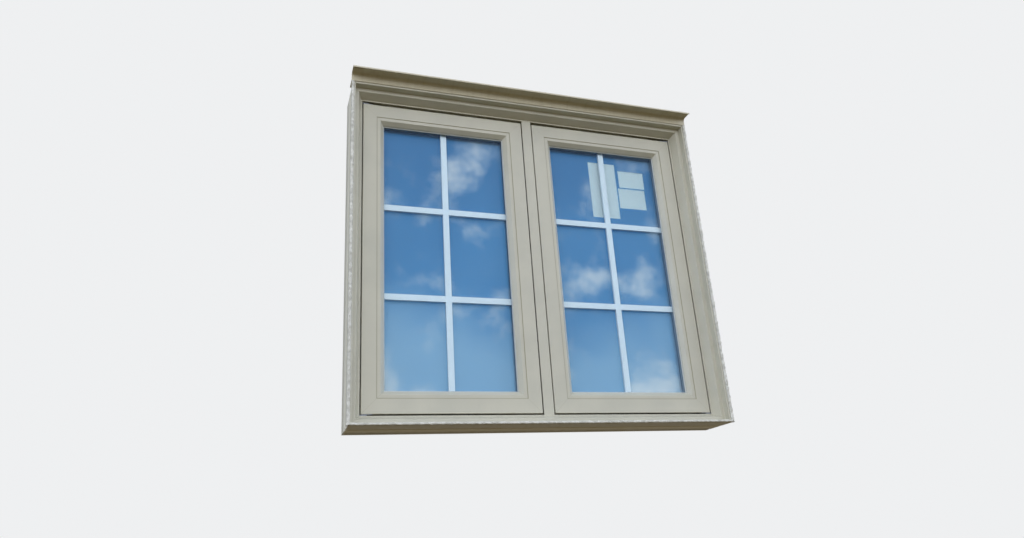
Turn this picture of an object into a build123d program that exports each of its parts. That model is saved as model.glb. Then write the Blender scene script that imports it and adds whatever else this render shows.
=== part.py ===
from build123d import *
import os
from math import atan2, cos, degrees, hypot, radians, sin

# Twin casement window. X runs across the window to the right seen from outside, Y runs from the
# street into the room, Z is up. The origin is the middle of the sill's underside, in the plane of
# the sashes' outside faces. Sizes are in millimetres. Everything with a left and a right is drawn
# for the right sash and mirrored.

# Sashes and the gaps round them
SASH_WIDTH = 508.0
SASH_HEIGHT = 946.0
SASH_DEPTH = 54.0
SASH_SPACING = 38.0
SIDE_GAP = 3.5
SILL_GAP = 4.5
HEAD_GAP = 9.0

# Frame extrusion, from the lip beside the sash outward to the wall
LIP_WIDTH = 3.5
LIP_DEPTH = 3.0
REVEAL_WIDTH = 11.0
REVEAL_DEPTH = 28.5
FILLET_WIDTH = 11.5
STEP_DEPTH = 22.5
OUTER_FACE = 8.5
RECESS = 11.5
STOP_LAP = 24.0
STOP_FRONT = 58.0
ROOM_FACE = 95.0
GROOVE_WIDTH = 6.0
GROOVE_DEPTH = 3.0
GROOVE_PLACES = (12.0, 72.0)
FIXING_HOLE_RADIUS = 2.6
FIXING_HOLE_DEPTH_PLACE = 40.0
FIXING_HOLE_END = 120.0

# Mullion
MULLION_NECK = 18.0

# Head flashing, folded sheet
SHEET = 1.5
FLANGE_LENGTH = 40.0
FLASHING_RISE = 21.3
FLASHING_REACH = 42.5
COVE_RADIUS = 10.0
FLASHING_HEM = 2.5
FLASHING_LIP = 3.0

# Sealant bead
BEAD_OVERLAP = 4.5
BEAD_JOINT = 5.0
SILL_BEAD_HEIGHT = 8.0
BEAD_BULGE = 6.0

# Sash extrusion, from its edge towards the glass
SASH_FACE = 41.5
EDGE_FLANGE = 8.0
REAR_INSET = 6.0
SIGHT_LINE = 62.0
REBATE_FLOOR = 46.0
REBATE_SHOULDER = 12.0
REBATE_BACK = 46.0
BEAD_STEP = 1.5
BEAD_FLAT = 10.3
BEAD_NOSE = 14.0
BEAD_BACK = 17.0

# Sealed glazing unit
PANE = 4.0
CAVITY = 16.0
GLASS_FACE = 21.0
GLASS_INSET = 50.5
SPACER_INSET = 1.0
SPACER_WIDTH = 8.5
GASKET_WIDTH = 8.0
GASKET_SHOWS = 3.0
TAPE_WIDTH = 9.0
BLOCK_LENGTH = 80.0
BLOCK_PLACE = 130.0
GRILLE_BAR = 18.0
GRILLE_THICKNESS = 8.0
GRILLE_LOW = 337.0
GRILLE_HIGH = 616.0

# Weatherstrip on the frame's stop
STRIP_START = 16.0
STRIP_WIDTH = 5.0
SEAT_GAP = 0.3

# Pivot hinge
PIVOT_IN = 5.0
PIVOT_BACK = 5.0
PIVOT_RADIUS = 2.5
PIN_LENGTH = 11.0
RUNNING_FIT = 0.05
BRACKET_THICKNESS = 2.4
BRACKET_REACH = 16.0
BRACKET_BACK = 30.0
BRACKET_FLANGE = 2.5
PIVOT_PLATE = 1.5
PIVOT_PLATE_LENGTH = 30.0
PIVOT_HOLE = 3.0

# Crank operator
ARM_LENGTH = 260.18
ARM_THICKNESS = 2.5
ARM_BELOW_SASH = 1.1
ARM_WIDTH = 12.0
ARM_HUB_RADIUS = 11.0
ARM_PIVOT_IN = 40.0
ARM_PIVOT_BACK = 62.0
ARM_PIN_RADIUS = 4.0
SHOE_RADIUS = 5.0
TRACK_BACK = 30.0
TRACK_START = 190.0
TRACK_END = 310.0
TRACK_WIDTH = 16.0
TRACK_WALL = 1.2
TRACK_HANG = 0.9
POCKET_LENGTH = 107.0
POCKET_END = 12.0
POCKET_FRONT = 62.0
POCKET_BACK = 90.0
POCKET_FLOOR = 5.2
BODY_ABOVE_ARM = 1.6
ARM_SLOT_TOP = 1.0
ARM_SLOT_REACH = 130.0
BASE_PLATE = 2.5
BASE_LOW_END = 13.0
BASE_HIGH_END = 6.5
BASE_INSET = 0.6
BASE_CORNER = 3.0
GEARBOX_LENGTH = 80.0
GEARBOX_HEIGHT = 13.0
GEARBOX_INSET = 3.5
GEARBOX_END = 5.0
GEARBOX_CORNER = 6.0
RIVET_RADIUS = 6.5
RIVET_THICKNESS = 0.9
CRANK_PLACE = 62.0
CRANK_BACK = 82.0
CRANK_RISE = 9.5
CRANK_TILT = 35.0
CRANK_GAP = 0.4
CRANK_BOSS_RADIUS = 8.0
CRANK_BOSS_LENGTH = 26.0
SPINDLE_RADIUS = 4.5
SPINDLE_DEPTH = 14.0
CRANK_THROW = 75.0
CRANK_HUB_RADIUS = 9.0
CRANK_HUB_LENGTH = 13.0
CRANK_ARM_THICKNESS = 5.0
KNOB_RADIUS = 9.0
KNOB_LENGTH = 22.0
KNOB_PIN_RADIUS = 3.0
COVER_GAP = 0.9
COVER_HEIGHT = 25.0
COVER_WALL = 2.2
COVER_DRAFT = 5.0
COVER_CORNER = 3.4

# Multi-point lock
LEVER_HEIGHT = 330.0
LEVER_PIVOT_BACK = 76.0
LEVER_ANGLE = 50.0
LEVER_INNER = 12.0
LEVER_NECK_LENGTH = 44.0
LEVER_GRIP_LENGTH = 50.0
LEVER_GRIP_ANGLE = 32.0
LEVER_THICKNESS = 5.0
LEVER_WIDTH = 9.0
LEVER_PIN_RADIUS = 3.0
LEVER_PIN_SEAT = 6.0
GRIP_WIDTH = 12.0
GRIP_THICKNESS = 12.0
GRIP_CORNER = 2.0
DRIVE_PIN_RADIUS = 2.0
DRIVE_SLOT_HALF = 2.8
LOCK_PLATE = 3.0
LOCK_PLATE_WIDTH = 24.0
LOCK_PLATE_HEIGHT = 136.0
LOCK_SLOT_HEIGHT = 100.0
LOCK_SLOT_WIDTH = 12.0
TIE_BAR_THICKNESS = 3.0
TIE_BAR_WIDTH = 16.0
TIE_BAR_BOTTOM = 60.0
TIE_BAR_TOP = 880.0
TIE_BAR_FRONT = 26.0
LOCK_PIN_RADIUS = 3.5
LOCK_SHANK_RADIUS = 2.5
LOCK_PIN_END = 22.0
LOCK_PINS = (150.0, 800.0)
GUIDES = (220.0, 470.0, 700.0)
GUIDE_LENGTH = 25.0
GUIDE_WALL = 2.0
TAB_HALF = 9.0
KEEPER_PLATE = 1.5
KEEPER_HOOK_EDGE = 17.5
KEEPER_HOOK = 3.2
KEEPER_START = 6.0
KEEPER_END = 50.0
HOOK_START = 8.0
HOOK_END = 28.0

# Screws
SCREW_RADIUS = 1.7
SCREW_LENGTH = 12.0
SCREW_HEAD_RADIUS = 3.2
SCREW_HEAD_HEIGHT = 1.8
SCREW_CLEARANCE = 0.1
BRACKET_SCREW_ABOVE = 11.5
BRACKET_SCREW_BELOW = 9.8
BRACKET_SCREW_BACKS = (14.0, 24.0)
PLATE_SCREW_IN = 22.0
PLATE_SCREW_BACK = 20.0
LOCK_SCREW_INSET = 7.2
TRACK_SCREW_INSET = 15.0
KEEPER_SCREW_RISES = (30.5, 44.0)
FLASHING_SCREW_INSET = 10.5
FLASHING_SCREW_STEP = 254.0

# Labels left on the right sash's inner pane: the far and near edge in from the sash's outer side, then
# the low and high edge down from its top
LABEL_THICKNESS = 0.3
LABELS = [(298.0, 198.0, 295.0, 90.0), (189.0, 92.0, 176.0, 112.0), (195.0, 94.0, 254.0, 179.0)]

# Places worked out from the sizes above
FRAME_FACE = LIP_WIDTH + REVEAL_WIDTH + FILLET_WIDTH + OUTER_FACE
SASH_BOTTOM = FRAME_FACE + SILL_GAP
SASH_TOP = SASH_BOTTOM + SASH_HEIGHT
SASH_INNER = SASH_SPACING / 2
SASH_OUTER = SASH_INNER + SASH_WIDTH
LIP_INNER = SASH_INNER - SIDE_GAP
LIP_OUTER = SASH_OUTER + SIDE_GAP
LIP_BOTTOM = SASH_BOTTOM - SILL_GAP
LIP_TOP = SASH_TOP + HEAD_GAP
FRAME_SIDE = LIP_OUTER + FRAME_FACE
FRAME_TOP = LIP_TOP + FRAME_FACE
STEP_FACE = -REVEAL_DEPTH
OUTSIDE_FACE = STEP_FACE - STEP_DEPTH
JAMB_RECESS = LIP_OUTER + RECESS
PIVOT_X = SASH_OUTER - PIVOT_IN
ARM_PIVOT_X = PIVOT_X - ARM_PIVOT_IN
ARM_PIVOT_Y = PIVOT_BACK + ARM_PIVOT_BACK
TRACK_Y = PIVOT_BACK + TRACK_BACK
ARM_TOP = SASH_BOTTOM - ARM_BELOW_SASH
ARM_BOTTOM = ARM_TOP - ARM_THICKNESS
SHOE_Y = TRACK_Y
SHOE_X = ARM_PIVOT_X - (ARM_LENGTH**2 - (ARM_PIVOT_Y - SHOE_Y) ** 2) ** 0.5
LEDGE = LIP_BOTTOM + STOP_LAP
POCKET_LOW_X = ARM_PIVOT_X + POCKET_END - POCKET_LENGTH
POCKET_HIGH_X = ARM_PIVOT_X + POCKET_END
CRANK_X = ARM_PIVOT_X - CRANK_PLACE
LEVER_X = SASH_INNER - REAR_INSET / 2
LEVER_Z = SASH_BOTTOM + LEVER_HEIGHT
NECK_FACE = MULLION_NECK / 2
TIE_BAR_X = NECK_FACE + SEAT_GAP
TIE_BAR_FACE = TIE_BAR_X + TIE_BAR_THICKNESS
LOCK_PIN_Y = TIE_BAR_FRONT + TIE_BAR_WIDTH / 2


def block(x0, x1, y0, y1, z0, z1):
    """Box between two corners."""
    return Pos((x0 + x1) / 2, (y0 + y1) / 2, (z0 + z1) / 2) * Box(x1 - x0, y1 - y0, z1 - z0)


def rod(start, direction, radius, length):
    """Cylinder from a point along a direction."""
    low = (Align.CENTER, Align.CENTER, Align.MIN)
    return Plane(origin=start, z_dir=direction) * Cylinder(radius, length, align=low)


def section(points):
    """Face from (offset, depth) or (offset, depth, corner radius) points."""
    corners = [(point[0], point[1]) for point in points]
    radii = [point[2] if len(point) > 2 else 0 for point in points]
    return make_face(FilletPolyline(*corners, radius=radii, close=True))


def stadium(start, end, width):
    """Round-ended bar between two points of a plane."""
    run = (end[0] - start[0], end[1] - start[1])
    middle = ((start[0] + end[0]) / 2, (start[1] + end[1]) / 2)
    turn = degrees(atan2(run[1], run[0]))
    return Pos(*middle) * Rot(0, 0, turn) * SlotCenterToCenter(hypot(*run), width)


def sides_of(x0, x1, z0, z1):
    """Plane and length of each side of an upright rectangle, local X outward and local Y to the room."""
    middle_x = (x0 + x1) / 2
    middle_z = (z0 + z1) / 2
    return [
        (Plane(origin=(x1, 0, middle_z), x_dir=(1, 0, 0), z_dir=(0, 0, 1)), z1 - z0),
        (Plane(origin=(x0, 0, middle_z), x_dir=(-1, 0, 0), z_dir=(0, 0, -1)), z1 - z0),
        (Plane(origin=(middle_x, 0, z1), x_dir=(0, 0, 1), z_dir=(-1, 0, 0)), x1 - x0),
        (Plane(origin=(middle_x, 0, z0), x_dir=(0, 0, -1), z_dir=(1, 0, 0)), x1 - x0),
    ]


def mitred_strips(face, x0, x1, z0, z1):
    """Four extrusions of a section round a rectangle, mitred at the corners."""
    reach = max(abs(corner.X) for corner in face.vertices()) + 1
    strips = []
    for side, length in sides_of(x0, x1, z0, z1):
        strip = extrude(face, length / 2 + reach, both=True)
        for end in (-1, 1):
            mitre = Plane(origin=(0, 0, end * length / 2), z_dir=(1, 0, -end))
            strip = split(strip, bisect_by=mitre, keep=Keep.TOP)
        strips.append(side * strip)
    return strips


def welded_ring(face, x0, x1, z0, z1):
    """Mitred extrusions welded at their corners into one piece."""
    strips = mitred_strips(face, x0, x1, z0, z1)
    return strips[0] + strips[1:]


def sash_ring(face):
    """Welded ring whose offsets are measured from the sash's edge."""
    return welded_ring(face, SASH_INNER, SASH_OUTER, SASH_BOTTOM, SASH_TOP)


def inward(points):
    """Section given by its distance in from the edge, as offsets from the edge."""
    return section([(-point[0],) + tuple(point[1:]) for point in points])


def screw(place):
    """Pan-head screw at a (point, direction) place, head outside the surface."""
    point, direction = place
    back = [-part for part in direction]
    return rod(point, direction, SCREW_RADIUS, SCREW_LENGTH) + rod(
        point, back, SCREW_HEAD_RADIUS, SCREW_HEAD_HEIGHT
    )


def drilled(piece, places):
    """Piece with a clearance hole for each screw."""
    for point, direction in places:
        start = [at - part for at, part in zip(point, direction)]
        radius = SCREW_RADIUS + SCREW_CLEARANCE
        piece -= rod(start, direction, radius, SCREW_LENGTH + 2)
    return piece


# Places of the screws, as (point under the head, direction into the material)


def bracket_screw_places():
    """Two screws through each pivot bracket's flange into the jamb."""
    x = JAMB_RECESS - BRACKET_FLANGE
    heights = (SASH_TOP + BRACKET_SCREW_ABOVE, SASH_BOTTOM - BRACKET_SCREW_BELOW)
    return [((x, y, z), (1, 0, 0)) for z in heights for y in BRACKET_SCREW_BACKS]


def operator_screw_places():
    """Screws down through the ends of the operator's base plate into the ledge."""
    z = LEDGE + BASE_PLATE
    y = (POCKET_FRONT + POCKET_BACK) / 2
    low_end = POCKET_LOW_X - BASE_LOW_END / 2
    high_end = POCKET_HIGH_X + BASE_HIGH_END / 2
    return [((x, y, z), (0, 0, -1)) for x in (low_end, high_end)]


def lock_screw_places():
    """Screws through the top and bottom of the lock plate into the mullion."""
    reach = LOCK_PLATE_HEIGHT / 2 - LOCK_SCREW_INSET
    return [((LEVER_X, ROOM_FACE + LOCK_PLATE, LEVER_Z + up), (0, -1, 0)) for up in (-reach, reach)]


def pivot_screw_places():
    """One screw through each pivot plate into the sash."""
    x = SASH_OUTER - PLATE_SCREW_IN
    top = ((x, PLATE_SCREW_BACK, SASH_TOP + PIVOT_PLATE), (0, 0, -1))
    bottom = ((x, PLATE_SCREW_BACK, SASH_BOTTOM - PIVOT_PLATE), (0, 0, 1))
    return [top, bottom]


def track_screw_places():
    """Two screws up through the track's web into the sash's bottom rail."""
    z = SASH_BOTTOM + REAR_INSET - TRACK_WALL
    ends = (TRACK_START + TRACK_SCREW_INSET, TRACK_END - TRACK_SCREW_INSET)
    return [((PIVOT_X - along, TRACK_Y, z), (0, 0, 1)) for along in ends]


def keeper_screw_places():
    """Two screws through each keeper into the sash's stile."""
    x = SASH_INNER + REAR_INSET - KEEPER_PLATE
    rises = [pin + rise for pin in LOCK_PINS for rise in KEEPER_SCREW_RISES]
    return [((x, LOCK_PIN_Y - 1, SASH_BOTTOM + rise), (1, 0, 0)) for rise in rises]


def flashing_screw_places():
    """Screws down through the flashing's flange into the frame's head."""
    y = OUTSIDE_FACE + FLANGE_LENGTH - FLASHING_SCREW_INSET
    z = FRAME_TOP + SHEET
    return [((count * FLASHING_SCREW_STEP, y, z), (0, 0, -1)) for count in range(-2, 3)]


# Frame


def frame_section():
    """Section of the frame, offsets outward from the lip's inner edge."""
    outer = FRAME_FACE
    front = [
        (0, 0, 0.8),
        (LIP_WIDTH, 0),
        (LIP_WIDTH + REVEAL_WIDTH, STEP_FACE, 1.5),
        (LIP_WIDTH + REVEAL_WIDTH + FILLET_WIDTH, STEP_FACE, 1.0),
        (outer - OUTER_FACE, OUTSIDE_FACE, 1.5),
        (outer, OUTSIDE_FACE, 1.0),
    ]
    grooves = []
    for place in GROOVE_PLACES:
        low = place - GROOVE_WIDTH / 2
        high = place + GROOVE_WIDTH / 2
        floor = outer - GROOVE_DEPTH
        grooves += [(outer, low), (floor, low), (floor, high), (outer, high)]
    back = [
        (outer, ROOM_FACE),
        (-STOP_LAP, ROOM_FACE, 3.0),
        (-STOP_LAP, STOP_FRONT, 1.0),
        (RECESS, STOP_FRONT),
        (RECESS, LIP_DEPTH),
        (0, LIP_DEPTH),
    ]
    return section(front + grooves + back)


def operator_pocket():
    """Pocket in the sill's ledge for one operator, with the slot its arm swings through."""
    pocket = block(
        POCKET_LOW_X, POCKET_HIGH_X, POCKET_FRONT, POCKET_BACK, SASH_BOTTOM - POCKET_FLOOR, LEDGE + 1
    )
    slot = block(
        ARM_PIVOT_X - ARM_SLOT_REACH,
        POCKET_HIGH_X - 1,
        STOP_FRONT - 1,
        POCKET_FRONT + 1,
        SASH_BOTTOM - POCKET_FLOOR,
        SASH_BOTTOM + ARM_SLOT_TOP,
    )
    return pocket + slot


def fixing_holes():
    """Two installation holes through one jamb, inside the sash recess."""
    reach = FRAME_FACE - RECESS + 2
    x = JAMB_RECESS - 1
    heights = (SASH_BOTTOM + FIXING_HOLE_END, SASH_TOP - FIXING_HOLE_END)
    holes = [rod((x, FIXING_HOLE_DEPTH_PLACE, z), (1, 0, 0), FIXING_HOLE_RADIUS, reach) for z in heights]
    return holes[0] + holes[1]


def main_frame():
    """Welded frame with its outer mould, operator pockets and fixing holes."""
    frame = welded_ring(frame_section(), -LIP_OUTER, LIP_OUTER, LIP_BOTTOM, LIP_TOP)
    for cut in (operator_pocket(), fixing_holes()):
        frame -= cut
        frame -= mirror(cut, about=Plane.YZ)
    places = bracket_screw_places() + operator_screw_places()
    mirrored = [((-point[0], point[1], point[2]), (-way[0], way[1], way[2])) for point, way in places]
    return drilled(frame, places + mirrored + flashing_screw_places())


def mullion():
    """Extruded mullion: outside lips, neck in the recess and room-side flange."""
    flange_edge = LIP_INNER + STOP_LAP
    lips = block(-LIP_INNER, LIP_INNER, 0, LIP_DEPTH, LIP_BOTTOM, LIP_TOP)
    lips = fillet(lips.edges().filter_by(Axis.Z).group_by(Axis.Y)[0], 0.8)
    neck = block(
        -NECK_FACE, NECK_FACE, LIP_DEPTH, STOP_FRONT, LIP_BOTTOM - RECESS, LIP_TOP + RECESS
    )
    flange = block(
        -flange_edge, flange_edge, STOP_FRONT, ROOM_FACE, LIP_BOTTOM + STOP_LAP, LIP_TOP - STOP_LAP
    )
    piece = lips + neck + flange
    slot_low = LEVER_Z - LOCK_SLOT_HEIGHT / 2 - 5
    slot_high = LEVER_Z + LOCK_SLOT_HEIGHT / 2 + 5
    slot = block(NECK_FACE, NECK_FACE + LOCK_SLOT_WIDTH, STOP_FRONT, ROOM_FACE + 1, slot_low, slot_high)
    bore = rod(
        (NECK_FACE + LOCK_SLOT_WIDTH - 1, LEVER_PIVOT_BACK, LEVER_Z),
        (1, 0, 0),
        LEVER_PIN_RADIUS + RUNNING_FIT,
        LEVER_PIN_SEAT + 1.5,
    )
    for cut in (slot, bore):
        piece -= cut
        piece -= mirror(cut, about=Plane.YZ)
    places = lock_screw_places()
    mirrored = [((-point[0], point[1], point[2]), way) for point, way in places]
    return drilled(piece, places + mirrored)


def head_flashing():
    """Folded sheet over the head: flange on the frame, hem over its front, coved leg, drip lip."""
    front = OUTSIDE_FACE
    length = FRAME_SIDE + BEAD_JOINT
    under = FRAME_TOP + FLASHING_RISE
    bend = front - 2 * SHEET - COVE_RADIUS
    tip = front - FLASHING_REACH
    leg_front = front - 2 * SHEET
    hem = FRAME_TOP - FLASHING_HEM
    outline = [
        (front + FLANGE_LENGTH, FRAME_TOP),
        (front + FLANGE_LENGTH, FRAME_TOP + SHEET),
        (leg_front + SHEET, FRAME_TOP + SHEET),
        (leg_front + SHEET, under + SHEET, COVE_RADIUS + SHEET),
        (tip, under + SHEET),
        (tip, under - FLASHING_LIP),
        (tip + SHEET, under - FLASHING_LIP),
        (tip + SHEET, under),
        (leg_front, under, COVE_RADIUS),
        (leg_front, hem),
        (front, hem),
        (front, FRAME_TOP),
    ]
    side_view = Plane(origin=(0, 0, 0), x_dir=(0, 1, 0), z_dir=(1, 0, 0))
    sheet = extrude(side_view * section(outline), length, both=True)
    return drilled(sheet, flashing_screw_places())


def perimeter_sealant():
    """Bead of sealant down both jambs and along the sill."""
    front = OUTSIDE_FACE
    lap = BEAD_OVERLAP
    jamb = section(
        [
            (-lap, front),
            (-lap + 1, front - 0.6 * BEAD_BULGE, 1.0),
            (BEAD_JOINT * 0.4, front - BEAD_BULGE, 2.0),
            (BEAD_JOINT, front - 0.5 * BEAD_BULGE),
            (BEAD_JOINT, front + BEAD_BULGE),
            (0, front + BEAD_BULGE),
            (0, front),
        ]
    )
    upright = Pos(FRAME_SIDE, 0, 0) * extrude(jamb, FRAME_TOP - FLASHING_HEM - SEAT_GAP)
    sill = [
        (front, 0),
        (front, SILL_BEAD_HEIGHT),
        (front - 0.5 * BEAD_BULGE, SILL_BEAD_HEIGHT - 1, 1.0),
        (front - 1.4 * BEAD_BULGE, 0),
    ]
    side_view = Plane(origin=(0, 0, 0), x_dir=(0, 1, 0), z_dir=(1, 0, 0))
    length = FRAME_SIDE + BEAD_JOINT
    along = extrude(side_view * section(sill), length, both=True)
    return along + upright + mirror(upright, about=Plane.YZ)


def weatherstrip():
    """Compression strip on the stop round one sash."""
    face = inward(
        [
            (STRIP_START, STOP_FRONT),
            (STRIP_START, SASH_DEPTH + SEAT_GAP, 1.5),
            (STRIP_START + STRIP_WIDTH, SASH_DEPTH + SEAT_GAP, 1.5),
            (STRIP_START + STRIP_WIDTH, STOP_FRONT),
        ]
    )
    return welded_ring(face, LIP_INNER, LIP_OUTER, LIP_BOTTOM, LIP_TOP)


# Sash and its glazing


def sash_frame():
    """Welded sash frame with its glazing rebate, pivot holes and screw holes."""
    face = inward(
        [
            (0, 0, 1.2),
            (SASH_FACE, 0, 0.8),
            (SASH_FACE, REBATE_SHOULDER),
            (REBATE_FLOOR, REBATE_SHOULDER),
            (REBATE_FLOOR, REBATE_BACK),
            (SIGHT_LINE, REBATE_BACK),
            (SIGHT_LINE, SASH_DEPTH, 3.0),
            (REAR_INSET, SASH_DEPTH, 1.0),
            (REAR_INSET, EDGE_FLANGE),
            (0, EDGE_FLANGE),
        ]
    )
    sash = sash_ring(face)
    for z, up in ((SASH_TOP + 1, -1), (SASH_BOTTOM - 1, 1)):
        sash -= rod((PIVOT_X, PIVOT_BACK, z), (0, 0, up), PIVOT_HOLE, PIN_LENGTH + 2)
    return drilled(sash, pivot_screw_places() + track_screw_places() + keeper_screw_places())


def glazing_beads():
    """Four snap-in beads with a flat and a splayed nose, mitred at the corners."""
    face = inward(
        [
            (SASH_FACE, BEAD_STEP),
            (SASH_FACE + BEAD_FLAT, BEAD_STEP, 1.5),
            (SIGHT_LINE, BEAD_NOSE, 1.0),
            (SIGHT_LINE, BEAD_BACK),
            (REBATE_FLOOR, BEAD_BACK),
            (REBATE_FLOOR, REBATE_SHOULDER),
            (SASH_FACE, REBATE_SHOULDER),
        ]
    )
    strips = mitred_strips(face, SASH_INNER, SASH_OUTER, SASH_BOTTOM, SASH_TOP)
    return Compound(children=strips)


def outer_gasket():
    """Soft gasket between the beads and the outer pane, with a lip that shows."""
    start = SIGHT_LINE + GASKET_SHOWS - GASKET_WIDTH
    face = inward(
        [
            (start, BEAD_BACK),
            (SIGHT_LINE, BEAD_BACK),
            (SIGHT_LINE + GASKET_SHOWS, BEAD_BACK + 1.5),
            (SIGHT_LINE + GASKET_SHOWS, GLASS_FACE - 1.2),
            (SIGHT_LINE + GASKET_SHOWS - 1.2, GLASS_FACE),
            (start, GLASS_FACE),
        ]
    )
    return sash_ring(face)


def pane(front):
    """One sheet of glass."""
    inset = GLASS_INSET
    return block(
        SASH_INNER + inset,
        SASH_OUTER - inset,
        front,
        front + PANE,
        SASH_BOTTOM + inset,
        SASH_TOP - inset,
    )


def edge_spacer():
    """Spacer frame between the panes."""
    near = GLASS_INSET + SPACER_INSET
    front = GLASS_FACE + PANE
    far = near + SPACER_WIDTH
    return sash_ring(inward([(near, front), (far, front), (far, front + CAVITY), (near, front + CAVITY)]))


def glazing_tape():
    """Tape between the inner pane and the back of the rebate."""
    front = GLASS_FACE + 2 * PANE + CAVITY
    near = SIGHT_LINE - 1 - TAPE_WIDTH
    far = SIGHT_LINE - 1
    return sash_ring(inward([(near, front), (far, front), (far, REBATE_BACK), (near, REBATE_BACK)]))


def setting_blocks():
    """Two blocks that carry the glazing unit on the bottom rail."""
    low = SASH_BOTTOM + REBATE_FLOOR
    high = SASH_BOTTOM + GLASS_INSET
    back = GLASS_FACE + 2 * PANE + CAVITY
    middle = (SASH_INNER + SASH_OUTER) / 2
    pair = []
    for way in (-1, 1):
        centre = middle + way * BLOCK_PLACE
        pair.append(block(centre - BLOCK_LENGTH / 2, centre + BLOCK_LENGTH / 2, GLASS_FACE, back, low, high))
    return Compound(children=pair)


def grille():
    """Flat bars between the panes: one upright and two crossbars, notched into one lattice."""
    front = GLASS_FACE + PANE + (CAVITY - GRILLE_THICKNESS) / 2
    back = front + GRILLE_THICKNESS
    reach = GLASS_INSET + SPACER_INSET + SPACER_WIDTH
    half = GRILLE_BAR / 2
    middle = (SASH_INNER + SASH_OUTER) / 2
    lattice = block(
        middle - half, middle + half, front, back, SASH_BOTTOM + reach, SASH_TOP - reach
    )
    for height in (GRILLE_LOW, GRILLE_HIGH):
        centre = SASH_BOTTOM + height
        lattice += block(
            SASH_INNER + reach, SASH_OUTER - reach, front, back, centre - half, centre + half
        )
    return lattice


def glass_labels():
    """Blank labels on the room side of the right sash's inner pane."""
    back = GLASS_FACE + 2 * PANE + CAVITY
    sheets = [
        block(SASH_OUTER - far, SASH_OUTER - near, back, back + LABEL_THICKNESS, SASH_TOP - low, SASH_TOP - high)
        for far, near, low, high in LABELS
    ]
    return Compound(children=sheets)


# Pivot hinge


def pivot_bracket(top):
    """Bracket on the jamb with the pin that the sash turns on."""
    away = 1 if top else -1
    sash_edge = SASH_TOP if top else SASH_BOTTOM
    near = sash_edge + away * (PIVOT_PLATE + SEAT_GAP)
    far = near + away * BRACKET_THICKNESS
    low = min(near, far)
    high = max(near, far)
    plate = block(
        SASH_OUTER - BRACKET_REACH, JAMB_RECESS, LIP_DEPTH + 1, BRACKET_BACK, low, high
    )
    nose = block(SASH_OUTER - BRACKET_REACH, LIP_OUTER - 0.5, 1, LIP_DEPTH + 1, low, high)
    end = LIP_TOP + RECESS - 2 if top else LIP_BOTTOM - RECESS + SEAT_GAP
    flange = block(
        JAMB_RECESS - BRACKET_FLANGE, JAMB_RECESS, LIP_DEPTH + 5, BRACKET_BACK, min(far, end), max(far, end)
    )
    pin = rod((PIVOT_X, PIVOT_BACK, near), (0, 0, -away), PIVOT_RADIUS, PIN_LENGTH)
    return drilled(plate + nose + flange + pin, bracket_screw_places())


def pivot_plate(top):
    """Cast plate let into the sash's corner, with the bore for the pivot pin."""
    away = 1 if top else -1
    sash_edge = SASH_TOP if top else SASH_BOTTOM
    face = sash_edge + away * PIVOT_PLATE
    floor = sash_edge - away * REAR_INSET
    start = SASH_OUTER - PIVOT_PLATE_LENGTH
    leaf = block(start, SASH_OUTER - 1, 1, EDGE_FLANGE, min(sash_edge, face), max(sash_edge, face))
    foot = block(
        start, SASH_OUTER - REAR_INSET, EDGE_FLANGE, BRACKET_BACK, min(floor, face), max(floor, face)
    )
    bore = rod(
        (PIVOT_X, PIVOT_BACK, sash_edge - away), (0, 0, away), PIVOT_RADIUS + RUNNING_FIT, PIVOT_PLATE + 2
    )
    return drilled(leaf + foot - bore, pivot_screw_places())


# Crank operator

CRANK_AXIS = (0, cos(radians(CRANK_TILT)), sin(radians(CRANK_TILT)))
CRANK_ROOT = (CRANK_X, CRANK_BACK, LEDGE + CRANK_RISE)


def along_crank(distance):
    """Point on the crank's axis."""
    return tuple(at + distance * part for at, part in zip(CRANK_ROOT, CRANK_AXIS))


def operator_base():
    """Cast operator base: plate on the ledge, body in the pocket, arm pin and crank boss."""
    body_low = ARM_TOP + BODY_ABOVE_ARM
    plate = block(
        POCKET_LOW_X - BASE_LOW_END,
        POCKET_HIGH_X + BASE_HIGH_END,
        POCKET_FRONT + BASE_INSET,
        POCKET_BACK - BASE_INSET,
        LEDGE,
        LEDGE + BASE_PLATE,
    )
    plate = fillet(plate.edges().filter_by(Axis.Z), BASE_CORNER)
    body = block(
        POCKET_LOW_X + SEAT_GAP,
        POCKET_HIGH_X - SEAT_GAP,
        POCKET_FRONT + SEAT_GAP,
        POCKET_BACK - SEAT_GAP,
        body_low,
        LEDGE,
    )
    gearbox = block(
        POCKET_HIGH_X - GEARBOX_END - GEARBOX_LENGTH,
        POCKET_HIGH_X - GEARBOX_END,
        POCKET_FRONT + GEARBOX_INSET,
        POCKET_BACK - GEARBOX_INSET,
        LEDGE + BASE_PLATE,
        LEDGE + BASE_PLATE + GEARBOX_HEIGHT,
    )
    gearbox = fillet(gearbox.edges().filter_by(Axis.Z), GEARBOX_CORNER)
    boss = rod(CRANK_ROOT, CRANK_AXIS, CRANK_BOSS_RADIUS, CRANK_BOSS_LENGTH)
    bore = rod(
        along_crank(CRANK_BOSS_LENGTH - SPINDLE_DEPTH - 1),
        CRANK_AXIS,
        SPINDLE_RADIUS + RUNNING_FIT,
        SPINDLE_DEPTH + 2,
    )
    rivet_top = ARM_BOTTOM - SEAT_GAP
    pin = rod((ARM_PIVOT_X, ARM_PIVOT_Y, body_low), (0, 0, -1), ARM_PIN_RADIUS, body_low - rivet_top + 0.5)
    rivet = rod((ARM_PIVOT_X, ARM_PIVOT_Y, rivet_top), (0, 0, -1), RIVET_RADIUS, RIVET_THICKNESS)
    casting = plate + body + gearbox + boss - bore + pin + rivet
    return drilled(casting, operator_screw_places())


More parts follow.
